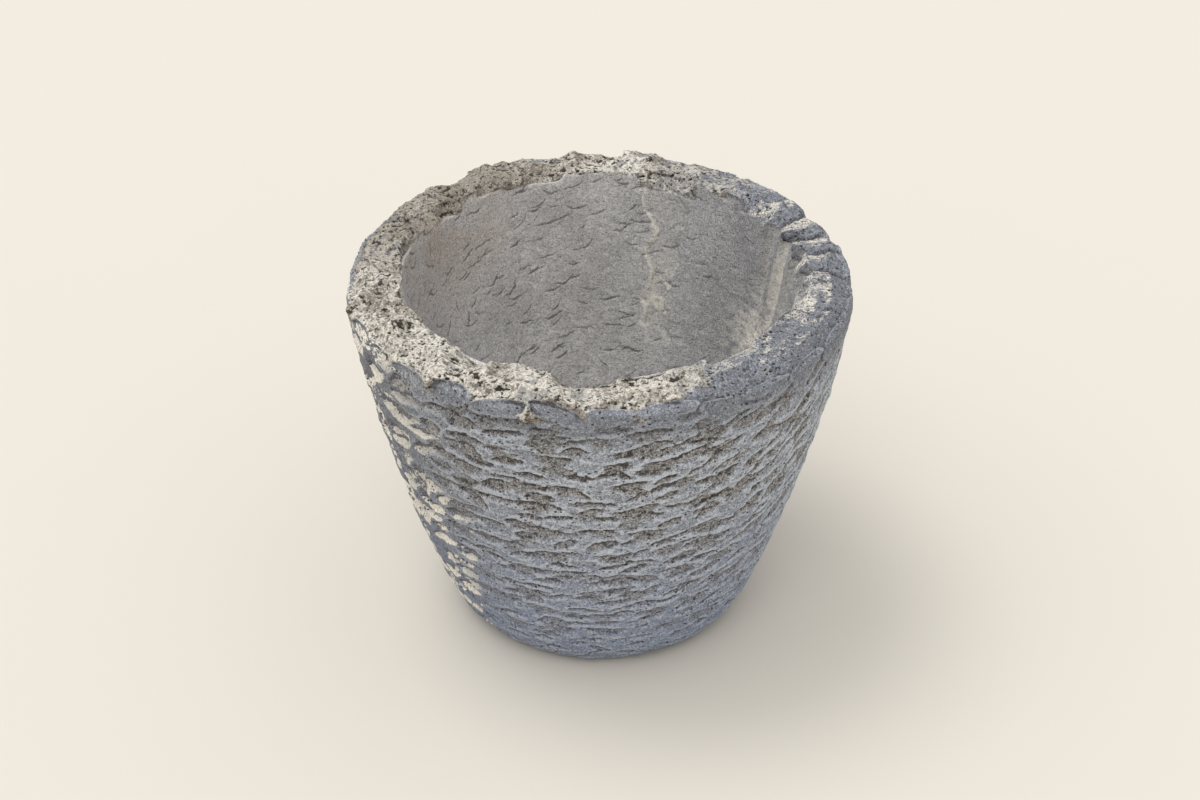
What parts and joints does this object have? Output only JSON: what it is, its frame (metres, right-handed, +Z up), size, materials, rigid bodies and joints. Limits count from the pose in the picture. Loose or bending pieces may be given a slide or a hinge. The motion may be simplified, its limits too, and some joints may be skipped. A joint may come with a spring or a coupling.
{
  "type": "stone planter",
  "caption": "Round carved stone planter with a tapered chiselled flank, a rough-hewn thick rim, a deep planting cavity and a sleeved floor drain under a lift-out domed strainer.",
  "frame": {"origin": "on the ground below the vessel's axis, at the centre of its foot", "axes": "+Z up along the vessel's axis, -Y towards the viewer of the picture, +X to the right"},
  "size_m": [0.6, 0.6, 0.47],
  "materials": {
    "stone": "rough chiselled",
    "mortar": "rough trowelled",
    "zinc": "dull weathered"
  },
  "bodies": {
    "vessel": {"stone_vessel": "stone", "sleeve_mortar": "mortar", "drain_sleeve": "zinc"},
    "strainer": {"drain_strainer": "zinc"}
  },
  "joints": [
    {"name": "strainer_lift", "type": "slide", "parent": "vessel", "child": "strainer", "axis": [0, 0, 1], "range_m": [0, 0.45]}
  ]
}
